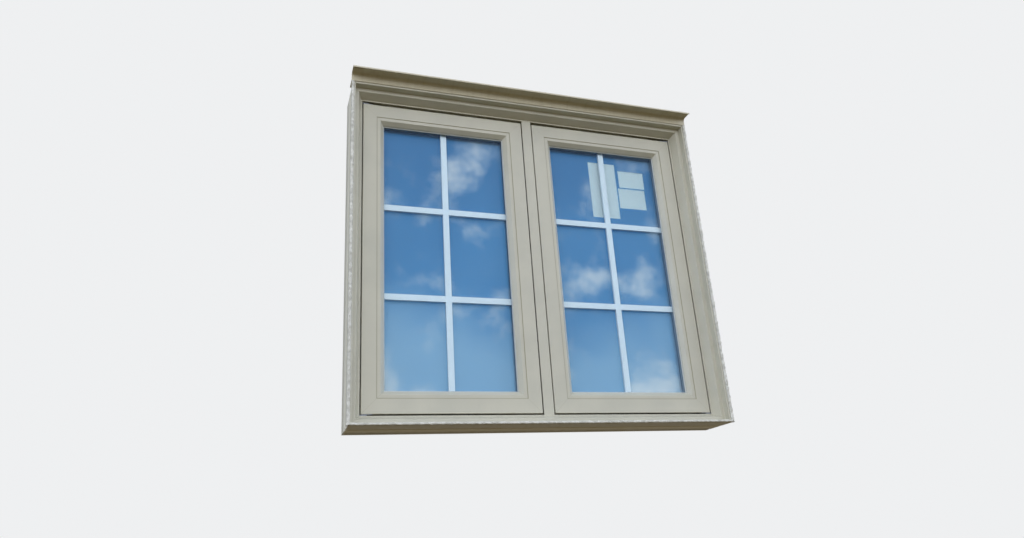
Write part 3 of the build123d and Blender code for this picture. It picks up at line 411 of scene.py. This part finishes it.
def clear_pane(name):
    """Clear float glass: straight through, with mirror gloss by angle."""
    material, tree, shader, place = finish_start(name)
    tree.nodes.remove(shader)
    through = node(tree, "ShaderNodeBsdfTransparent", {"Color": CLEAR_TINT})
    mirror = node(tree, "ShaderNodeBsdfGlossy", {"Color": MIRROR_TINT, "Roughness": MIRROR_ROUGHNESS})
    bump(tree, mirror, noise(tree, place, WAVE_SCALE, detail=0.0), WAVE_STRENGTH, WAVE_DEPTH)
    facing = node(tree, "ShaderNodeLayerWeight", {"Blend": PLAIN_BLEND}).outputs["Facing"]
    rise = calc(tree, "POWER", facing, SCHLICK_POWER)
    gloss = calc(tree, "MULTIPLY_ADD", rise, 1.0 - GLOSS_AHEAD, GLOSS_AHEAD)
    joined = node(tree, "ShaderNodeMixShader", {0: gloss, 1: through.outputs[0], 2: mirror.outputs[0]})
    tree.links.new(joined.outputs[0], tree.nodes["Material Output"].inputs["Surface"])
    return material


dress(sides("outer_pane"), clear_pane("clear_glass"))

# %% [markdown]
# The inner pane is blue. In the photograph the unit looks blue and deeper towards the top, because it
# mirrors the sky, and there is no sky in a studio, so the tint stands for it, soft clouds and all. The
# white bars lie between the two panes, in front of the blue, as they look there.

# %% Sky in the glass
GLASS_BOTTOM = SASH_BOTTOM + GLASS_INSET
GLASS_TOP = SASH_TOP - GLASS_INSET
# painted reflection of the sky: blue deepening towards the top, with painted clouds
TINT_TOP = (0.11, 0.33, 0.57, 1)
TINT_MIDDLE = (0.15, 0.41, 0.655, 1)
TINT_BOTTOM = (0.40, 0.62, 0.78, 1)
PAINTED_CLOUD = (0.90, 0.92, 0.91, 1)
TINT_DRIFT = 0.12
DRIFT_SCALE = 2.6
DRIFT_SPAN = (0.3, 0.7)
LOWER_END = 0.45
UPPER_START = 0.4
CLOUD_SCALE = 5.5
CLOUD_SPAN = (0.46, 0.74)
CLOUD_SHARE = 0.8


def painted_sky_tint(tree, place, z):
    """Painted reflection of the sky: blue that deepens from the pane's bottom to its top, with soft clouds.
    """
    rise = GLASS_TOP - GLASS_BOTTOM
    drift = noise(tree, place, DRIFT_SCALE, detail=3.0)
    shifted = calc(tree, "ADD", z, between(tree, drift, *DRIFT_SPAN, -TINT_DRIFT, TINT_DRIFT))
    below = between(tree, shifted, GLASS_BOTTOM, GLASS_BOTTOM + LOWER_END * rise)
    upper = between(tree, shifted, GLASS_BOTTOM + UPPER_START * rise, GLASS_TOP)
    clear_sky = mix_colour(tree, upper, mix_colour(tree, below, TINT_BOTTOM, TINT_MIDDLE), TINT_TOP)
    cloud = noise(tree, place, CLOUD_SCALE, detail=5.0, roughness=0.55)
    return mix_colour(tree, between(tree, cloud, *CLOUD_SPAN, 0.0, CLOUD_SHARE), clear_sky, PAINTED_CLOUD)


print("tint deepens from", GLASS_BOTTOM, "to", GLASS_TOP)

# %% [markdown]
# Blank paper labels are left on the right unit, behind the glass. The painted sky would turn the paper
# blue, and it looks white, so the tint is left out in front of each label. A mask says where: the distance
# from the label's middle, compared with half its size.

# %% Inner pane with the painted sky
BEHIND_LABEL = (0.95, 0.97, 0.98, 1)
LABEL_SOFTNESS = 0.0005
PANE_BODY = 0.45
PANE_ROUGHNESS = 0.08
# left, right, low and high edge of each label
LABELS = ((0.229, 0.329, 0.690, 0.895), (0.338, 0.435, 0.809, 0.873), (0.332, 0.433, 0.731, 0.806))


def span_mask(tree, value, low, high, softness):
    """1 from low to high, 0 outside."""
    off = calc(tree, "ABSOLUTE", calc(tree, "SUBTRACT", value, (low + high) / 2))
    return between(tree, off, (high - low) / 2, (high - low) / 2 + softness, 1.0, 0.0)


def rectangle_mask(tree, x, z, edges, softness):
    """1 inside a rectangle of x and z, 0 outside."""
    inside_x = span_mask(tree, x, edges[0], edges[1], softness)
    inside_z = span_mask(tree, z, edges[2], edges[3], softness)
    return calc(tree, "MULTIPLY", inside_x, inside_z)


def painted_sky_pane(name, labels=()):
    """Glass with a painted sky reflection, partly see-through, cleared where a label is stuck behind it."""
    material, tree, shader, place = finish_start(name)
    x, _, z = parts_of(tree, place)
    tint = painted_sky_tint(tree, place, z)
    clear = 0.0
    for edges in labels:
        clear = calc(tree, "MAXIMUM", clear, rectangle_mask(tree, x, z, edges, LABEL_SOFTNESS))
    passed = mix_colour(tree, clear, tint, BEHIND_LABEL) if labels else tint
    through = node(tree, "ShaderNodeBsdfTransparent", {"Color": passed})
    tree.links.new(tint, shader.inputs["Base Color"])
    shader.inputs["Roughness"].default_value = PANE_ROUGHNESS
    body = calc(tree, "SUBTRACT", PANE_BODY, calc(tree, "MULTIPLY", clear, PANE_BODY))
    joined = node(tree, "ShaderNodeMixShader", {0: body, 1: through.outputs[0], 2: shader.outputs[0]})
    tree.links.new(joined.outputs[0], tree.nodes["Material Output"].inputs["Surface"])
    return material


dress(["inner_pane_right"], painted_sky_pane("painted_sky_glass_labelled", LABELS))
dress(["inner_pane_left"], painted_sky_pane("painted_sky_glass"))

# %% [markdown]
# Most small pieces need no more than two close tones in clouds, and one grain that roughens and dents
# them. One function makes all these finishes, because only their colours and sizes differ.

# %% A finish for small pieces
TONE_TO_GRAIN = 12
TONE_WEIGHT = 0.6
GRAIN_WEIGHT = 0.4
GRAIN_SPAN = (0.3, 0.7)
SMOOTHER = 0.06
ROUGHER = 0.08
GRAIN_STRENGTH = 0.4


def plain_finish(name, first, second, rough, scale, relief, metallic=0.0):
    """Two close tones in clouds, with roughness and relief of one grain."""
    material, tree, shader, place = finish_start(name)
    grain = noise(tree, place, scale, detail=4.0, roughness=0.6)
    clouds = noise(tree, place, scale / TONE_TO_GRAIN, detail=3.0)
    blend = calc(tree, "MULTIPLY_ADD", clouds, TONE_WEIGHT, calc(tree, "MULTIPLY", grain, GRAIN_WEIGHT))
    tone = mix_colour(tree, between(tree, blend, *GRAIN_SPAN), (*first, 1), (*second, 1))
    tree.links.new(tone, shader.inputs["Base Color"])
    uneven = between(tree, grain, *GRAIN_SPAN, rough - SMOOTHER, rough + ROUGHER)
    tree.links.new(uneven, shader.inputs["Roughness"])
    bump(tree, shader, grain, GRAIN_STRENGTH, relief)
    shader.inputs["Metallic"].default_value = metallic
    return material


print("plain finish: its clouds are", TONE_TO_GRAIN, "times as wide as its grain")

# %% [markdown]
# A table holds what the pieces round the glass are made of: the white bars, the grey gasket, the paper
# labels, the black rubber strip and the pale guides. The metal spacer has a finish of its own, because a
# dark sealant line shows along its back edge.

# %% Small pieces round the glass
SPACER_METAL = (0.26, 0.31, 0.345, 1)
SPACER_BRIGHT = (0.32, 0.37, 0.40, 1)
SPACER_SEAL = (0.04, 0.06, 0.10, 1)
SEAL_LINE = 0.003
SEAL_SOFTNESS = 0.0004
SPACER_SHINE = 0.2
SPACER_SCALE = 500.0
SPACER_ROUGHNESS = (0.35, 0.5)
GLAZING_FINISHES = (
    # nodes, finish, two tones, roughness, grain scale, relief depth
    (sides("grille"),
     "bar_white", (0.78, 0.875, 0.90), (0.74, 0.83, 0.86), 0.35, 500.0, 0.00003),
    (sides("outer_gasket", "glazing_tape"),
     "gasket_grey", (0.44, 0.46, 0.43), (0.52, 0.54, 0.495), 0.6, 700.0, 0.00005),
    (["glass_labels"],
     "label_paper", (0.80, 0.90, 0.88), (0.75, 0.86, 0.85), 0.8, 900.0, 0.00004),
    (sides("weatherstrip"),
     "strip_rubber", (0.10, 0.095, 0.085), (0.14, 0.13, 0.12), 0.55, 600.0, 0.00006),
    (sides("setting_blocks", "tie_bar_guides"),
     "guide_plastic", (0.75, 0.75, 0.72), (0.68, 0.68, 0.65), 0.45, 400.0, 0.00004),
)


def spacer_finish(name, back):
    """Mill aluminium with a dark sealant line towards the inner pane, whose face is at back."""
    material, tree, shader, place = finish_start(name)
    _, depth, _ = parts_of(tree, place)
    line = between(tree, depth, back - SEAL_LINE, back - SEAL_LINE + SEAL_SOFTNESS)
    grain = noise(tree, place, SPACER_SCALE, detail=3.0)
    metal = mix_colour(tree, grain, SPACER_METAL, SPACER_BRIGHT)
    tree.links.new(mix_colour(tree, line, metal, SPACER_SEAL), shader.inputs["Base Color"])
    shine = calc(tree, "SUBTRACT", SPACER_SHINE, calc(tree, "MULTIPLY", line, SPACER_SHINE))
    tree.links.new(shine, shader.inputs["Metallic"])
    tree.links.new(between(tree, grain, *GRAIN_SPAN, *SPACER_ROUGHNESS), shader.inputs["Roughness"])
    return material


for names, *finish in GLAZING_FINISHES:
    dress(names, plain_finish(*finish))
_, spacer_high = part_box("edge_spacer_right")
dress(sides("edge_spacer"), spacer_finish("spacer_metal", spacer_high[1]))

# %% [markdown]
# The working metal. Zinc plate on pressed steel is grey, uneven and softly bright, the handles and levers
# are enamelled to match the frame, and the moulded cover and knob are plastic with a fine spark texture.

# %% Hardware
HARDWARE_FINISHES = (
    # nodes, finish, two tones, roughness, grain scale, relief depth, share of metal
    (sides("top_pivot_bracket", "bottom_pivot_bracket", "pivot_plates", "lock_keepers"),
     "zinc_plate", (0.36, 0.37, 0.38), (0.28, 0.29, 0.30), 0.45, 220.0, 0.00003, 0.9),
    (sides("operator_arm", "arm_track", "tie_bar", "lock_pins"),
     "plated_bar", (0.48, 0.49, 0.50), (0.56, 0.57, 0.58), 0.3, 150.0, 0.00003, 0.95),
    (sides("operator_base"),
     "cast_zinc", (0.30, 0.29, 0.26), (0.36, 0.35, 0.32), 0.5, 300.0, 0.00012, 0.3),
    (sides("crank_handle", "lock_plate", "lock_lever"),
     "baked_enamel", (0.63, 0.6, 0.46), (0.6, 0.565, 0.43), 0.32, 350.0, 0.00003, 0.0),
    (sides("operator_cover", "crank_knob"),
     "moulded_plastic", (0.62, 0.59, 0.45), (0.58, 0.55, 0.42), 0.5, 900.0, 0.00008, 0.0),
    (["flashing_screws"] + sides("frame_screws", "sash_screws"),
     "screw_zinc", (0.55, 0.56, 0.57), (0.45, 0.46, 0.47), 0.35, 300.0, 0.00002, 0.95),
)

for names, *finish in HARDWARE_FINISHES:
    dress(names, plain_finish(*finish))

# %% [markdown]
# A new piece is a grid of points: one section carried along a path, with the places along the path in one
# direction and the points round the section in the other. Its faces join neighbours in the grid, and one
# face closes each end.


# %% Pieces from grids
def grid_faces(rows, columns):
    """Quads of a grid whose columns close on themselves; the ends are capped by one face each."""
    row = np.arange(rows - 1)[:, None] * columns
    column = np.arange(columns)[None, :]
    following = (column + 1) % columns
    corners = [row + column, row + following, row + columns + following, row + columns + column]
    caps = [list(range(columns))[::-1], list(range((rows - 1) * columns, rows * columns))]
    return np.stack(corners, axis=-1).reshape(-1, 4).tolist() + caps


def make_piece(name, points, faces, material):
    """Object with its place in its mesh, faces outward and smooth."""
    mesh = bpy.data.meshes.new(name)
    mesh.from_pydata(np.asarray(points).reshape(-1, 3).tolist(), [], faces)
    mesh.validate()
    mesh.materials.append(material)
    mesh.polygons.foreach_set("use_smooth", np.ones(len(mesh.polygons), bool))
    mesh.update()
    piece = bpy.data.objects.new(name, mesh)
    bpy.context.scene.collection.objects.link(piece)
    print(name, "has", len(mesh.polygons), "faces")
    return piece


def waves(along, lengths, seed):
    """Sum of sines of the given wavelengths with fixed phases, about -1 to 1."""
    phases = np.random.default_rng(seed).uniform(0, 2 * np.pi, len(lengths))
    total = sum(np.sin(2 * np.pi * along / size + phase) for size, phase in zip(lengths, phases))
    return total / len(lengths)


print("grid helpers: grid_faces, make_piece, waves")

# %% [markdown]
# The sealant is put on by hand from a gun. It runs down one jamb, along the sill and up the other, on the
# frame's outer edge. Its path is a row of points in even steps, close enough together for the lumps that
# a hand leaves.

# %% Path of the sealant
HEAD_CLEARANCE = 0.0028
SEALANT_TOP = FRAME_TOP - HEAD_CLEARANCE
STATION_STEP = 0.0035


def bead_stations():
    """Corner points of the path on the frame's outer edge, the way outward there, and 1 where it is sill.

    The path goes down the left jamb, along the sill and up the right jamb, with even steps.
    """
    jamb = np.arange(0, SEALANT_TOP, STATION_STEP)[::-1]
    sill = np.arange(-FRAME_SIDE, FRAME_SIDE + STATION_STEP / 2, STATION_STEP)
    left = np.stack([np.full_like(jamb, -FRAME_SIDE), jamb], axis=1)
    under = np.stack([sill, np.zeros_like(sill)], axis=1)
    right_side = np.stack([np.full_like(jamb, FRAME_SIDE), jamb[::-1]], axis=1)
    counts = (len(jamb), len(sill), len(jamb))
    outward = np.repeat([(-1.0, 0.0), (0.0, -1.0), (1.0, 0.0)], counts, axis=0)
    is_sill = np.repeat([0.0, 1.0, 0.0], counts)
    return np.concatenate([left, under, right_side]), outward, is_sill


stations = bead_stations()
print("path of the sealant:", len(stations[0]), "stations")

# %% [markdown]
# A finger has smoothed the bead, so it is a little wider here and thinner there, with small lumps. At the
# jambs it laps over the frame's face and fills the joint beside it; at the sill it lies under the frame's
# edge. Sums of sines with fixed phases make it uneven, the same way every time.

# %% Sealant bead
SEALANT_LAP = 0.0045
SEALANT_JOINT = 0.005
SEALANT_BULGE = 0.006
SEALANT_BACK = 0.003
SILL_HEIGHT = 0.008
SILL_FLATTER = 0.1
JOINT_CLEARANCE = 0.0004
SILL_CLEARANCE = 0.0001
SECTION_POINTS = 28
FRONT_POWER = 0.7
LONG_SWELL = 0.2
LONG_WAVES = (0.31, 0.127, 0.061)
SHORT_SWELL = 0.25
SHORT_WAVES = (0.034, 0.021, 0.013)
LUMP_SIZE = 0.0015
LUMP_WAVES = (0.027, 0.016, 0.011)
LUMP_TWIST = 0.004
WIDTH_MEAN = 0.94
WIDTH_SWELL = 0.5


def sealant_points(corner, outward, is_sill):
    """Section (reach, depth) carried along the path.

    reach = centre + width cos(t) and depth = face - bulge max(sin(t), 0)^0.7; where the jambs' joint is,
    the far half goes back by -back min(sin(t), 0). Width and bulge swell with waves along the path, and
    the lumps also change round the section.
    """
    steps = np.linalg.norm(np.diff(corner, axis=0), axis=1)
    along = np.concatenate([[0], np.cumsum(steps)])[:, None]
    turn = np.linspace(0, 2 * np.pi, SECTION_POINTS, endpoint=False)[None, :]
    swell = 1 + LONG_SWELL * waves(along, LONG_WAVES, 3) + SHORT_SWELL * waves(along, SHORT_WAVES, 5)
    lump = LUMP_SIZE * waves(along + LUMP_TWIST * turn, LUMP_WAVES, 7)
    sill = is_sill[:, None]
    jamb = 1 - sill
    width = jamb * (SEALANT_LAP + SEALANT_JOINT) / 2 + sill * SILL_HEIGHT / 2
    centre = jamb * (SEALANT_JOINT - SEALANT_LAP) / 2 - sill * SILL_HEIGHT / 2
    bulge = SEALANT_BULGE * (1 - SILL_FLATTER * sill)
    front = np.maximum(np.sin(turn), 0) ** FRONT_POWER
    back = np.minimum(np.sin(turn), 0)
    reach = centre + width * np.cos(turn) * (WIDTH_MEAN + WIDTH_SWELL * (swell - 1))
    beside = np.minimum(SEALANT_JOINT - JOINT_CLEARANCE, reach)
    held = beside * jamb + sill * np.minimum(reach, -SILL_CLEARANCE)
    depth = OUTSIDE_FACE - (bulge * swell + lump) * front - SEALANT_BACK * back * jamb * (reach > 0)
    x = corner[:, :1] + outward[:, :1] * held
    z = corner[:, 1:] + outward[:, 1:] * held
    return np.stack([x, depth, z], axis=-1)


sealant = plain_finish("sealant_white", (0.76, 0.74, 0.645), (0.44, 0.43, 0.355), 0.6, 900.0, 0.0006)
bead_points = sealant_points(*stations)
bead = make_piece("sealant_bead", bead_points, grid_faces(*bead_points.shape[:2]), sealant)
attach(bead, "window_frame")
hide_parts("perimeter_sealant")
print("sealant bead:", bead_points.shape[0], "stations")

# %% [markdown]
# Behind each lock's cover plate the lever swings in a slot through the mullion. A strip of black is painted
# shade: it closes the slot's outside, so that no light comes through and the slot stays dark. It is a short
# length of one rounded section, set against the slot's end wall, clear of the lever and of the tie bar.

# %% Black strips of painted shade in the lock slots
STRIP_REACH = (0.0129, 0.021)
STRIP_DEPTH = (0.0582, 0.0595)
STRIP_RISE = (0.315, 0.423)
STRIP_ROUND = 0.4
STRIP_POINTS = 24
STRIP_ROWS = 13


def strip_points(way):
    """Rounded section carried up: centre + half (cos(t), sin(t)), each raised to the power STRIP_ROUND."""
    turn = np.linspace(0, 2 * np.pi, STRIP_POINTS, endpoint=False)
    unit = np.stack([np.cos(turn), np.sin(turn)])
    unit = np.sign(unit) * np.abs(unit) ** STRIP_ROUND
    middle_x, middle_y = (sum(pair) / 2 for pair in (STRIP_REACH, STRIP_DEPTH))
    half_x, half_y = ((pair[1] - pair[0]) / 2 for pair in (STRIP_REACH, STRIP_DEPTH))
    z = np.linspace(*STRIP_RISE, STRIP_ROWS)[:, None]
    section = (way * middle_x + half_x * unit[:1], middle_y + half_y * unit[1:])
    return np.stack(np.broadcast_arrays(*section, z), axis=-1)


# black strips of painted shade that keep light from showing through the lock slots
slot_shade_finish = plain_finish("painted_shade_black", (0.02, 0.02, 0.02), (0.035, 0.034, 0.033), 0.85, 1500.0, 0.00015)
for side, way in (("right", 1), ("left", -1)):
    points = strip_points(way)
    strip = make_piece("lock_slot_shade_" + side, points, grid_faces(*points.shape[:2]), slot_shade_finish)
    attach(strip, "window_frame")
print("foam strips:", STRIP_RISE)

# %% [markdown]
# A plain studio, with its floor far below the sill, as the ground is below a window. The floor is pale and
# matt and throws no light on the object, which has its own.

# %% Floor
FLOOR = -1.25
FLOOR_HALF = 14.0
FLOOR_LIGHT = (0.93, 0.935, 0.94, 1)
FLOOR_SHADE = (0.90, 0.905, 0.91, 1)
FLOOR_GLOW = 0.68
FLOOR_BASE = (0.15, 0.15, 0.15, 1)
FLOOR_BASE_SHADE = (0.14, 0.14, 0.14, 1)
FLOOR_ROUGHNESS = 0.9
MOTTLE_SCALE = 3.0


def floor_finish():
    """Pale matt floor, barely mottled. Most of its tone is its own, so the lamps leave no pools."""
    material, tree, shader, place = finish_start("floor_pale")
    mottle = noise(tree, place, MOTTLE_SCALE)
    tree.links.new(mix_colour(tree, mottle, FLOOR_LIGHT, FLOOR_SHADE), shader.inputs["Emission Color"])
    shader.inputs["Emission Strength"].default_value = FLOOR_GLOW
    tree.links.new(mix_colour(tree, mottle, FLOOR_BASE, FLOOR_BASE_SHADE), shader.inputs["Base Color"])
    shader.inputs["Roughness"].default_value = FLOOR_ROUGHNESS
    return material


quarters = ((-1, -1), (1, -1), (1, 1), (-1, 1))
floor_corners = [(x * FLOOR_HALF, y * FLOOR_HALF, FLOOR) for x, y in quarters]
floor = make_piece("floor", floor_corners, [(0, 1, 2, 3)], floor_finish())
floor.visible_diffuse = False
floor.visible_glossy = False
print("floor at", FLOOR)

# %% [markdown]
# The camera, also through the glass, sees one pale background. The object is lit by something else, as a
# window in a wall is: a bluish sky in front, brighter to the sides, a dimmer one behind and overhead, and a
# dark warm ground, so that undersides stay darker and browner than faces. What mirrors see is the same sky
# over a paler ground.

# %% World
BACKGROUND = (0.86, 0.87, 0.88, 1)
SKY_GLOW = (0.80, 0.885, 1.10, 1)
BACK_GLOW = (0.40, 0.43, 0.48, 1)
ZENITH_GLOW = (0.34, 0.37, 0.42, 1)
GROUND_GLOW = (0.11, 0.082, 0.026, 1)
MIRROR_GROUND = (0.32, 0.29, 0.24, 1)
SIDE_EXTRA = 1.75
FRONT_TO_BACK = (-0.2, 0.3)
SKY_TO_ZENITH = (0.5, 0.9)
HORIZON = (-0.05, 0.2)
FRONT_TO_SIDE = (0.45, 0.9)

world = bpy.data.worlds.new("studio")
world.use_nodes = True
bpy.context.scene.world = world
sky = world.node_tree
background = sky.nodes["Background"]
ray = node(sky, "ShaderNodeLightPath").outputs
looked_at = calc(sky, "MAXIMUM", ray["Is Camera Ray"], ray["Is Transmission Ray"])
toward_x, toward_y, toward_z = parts_of(sky, node(sky, "ShaderNodeTexCoord").outputs["Generated"])
dome = mix_colour(sky, between(sky, toward_y, *FRONT_TO_BACK), SKY_GLOW, BACK_GLOW)
dome = mix_colour(sky, between(sky, toward_z, *SKY_TO_ZENITH), dome, ZENITH_GLOW)
above = between(sky, toward_z, *HORIZON)
ground = mix_colour(sky, ray["Is Glossy Ray"], GROUND_GLOW, MIRROR_GROUND)
glow = mix_colour(sky, above, ground, dome)
sky.links.new(mix_colour(sky, looked_at, glow, BACKGROUND), background.inputs["Color"])
beside = between(sky, calc(sky, "ABSOLUTE", toward_x), *FRONT_TO_SIDE, 0.0, SIDE_EXTRA)
lighting_sky = calc(sky, "MULTIPLY", above, calc(sky, "SUBTRACT", 1.0, looked_at))
sky.links.new(calc(sky, "MULTIPLY_ADD", lighting_sky, beside, 1.0), background.inputs["Strength"])
print("world:", world.name, "with", len(sky.nodes), "nodes")

# %% [markdown]
# Four large soft lamps give the light its direction: the key from the upper left, a broad one in front and
# a weak fill from the right, all as blue as daylight, and a white one in the room behind. The front one and
# the fill would show as bright patches in glass and gloss, so mirrors don't see them.

# %% Lamps
LAMP_AIM = (0, 0, 0.5)
DAYLIGHT = (0.89, 0.92, 1.0)
LAMPS = (
    # name, place, size, power, colour, seen in mirrors
    ("key", (-2.2, -3.6, 2.6), (3.2, 2.4), 37.5, DAYLIGHT, True),
    ("front", (-0.8, -5.0, 1.45), (3.6, 1.6), 64.0, (0.885, 0.915, 1.0), False),
    ("fill", (3.0, -3.0, 1.6), (2.4, 2.4), 16.0, DAYLIGHT, False),
    ("rear", (1.6, 3.4, 2.4), (3.0, 2.4), 90.0, (1.0, 1.0, 1.0), True),
)


def basis_facing(back):
    """Turn whose third column is the given direction: the lamp shines the other way."""
    third = back / np.linalg.norm(back)
    first = np.cross((0, 0, 1), third)
    first = first / np.linalg.norm(first)
    return np.array([first, np.cross(third, first), third]).T


def soft_lamp(name, place, aim, size, power, colour):
    """Rectangular area lamp that faces a point."""
    data = bpy.data.lights.new(name, "AREA")
    data.shape = "RECTANGLE"
    data.size, data.size_y = size
    data.energy = power
    data.color = colour
    lamp = bpy.data.objects.new(name, data)
    bpy.context.scene.collection.objects.link(lamp)
    back = np.array(place, float) - np.array(aim, float)
    lamp.matrix_world = Matrix.Translation(place) @ Matrix(basis_facing(back).tolist()).to_4x4()
    return lamp


for name, place, size, power, colour, mirrored in LAMPS:
    lamp = soft_lamp(name, place, LAMP_AIM, size, power, colour)
    lamp.visible_glossy = mirrored
bpy.context.scene.view_settings.view_transform = "Standard"
print("lamps:", ", ".join(lamp[0] for lamp in LAMPS))
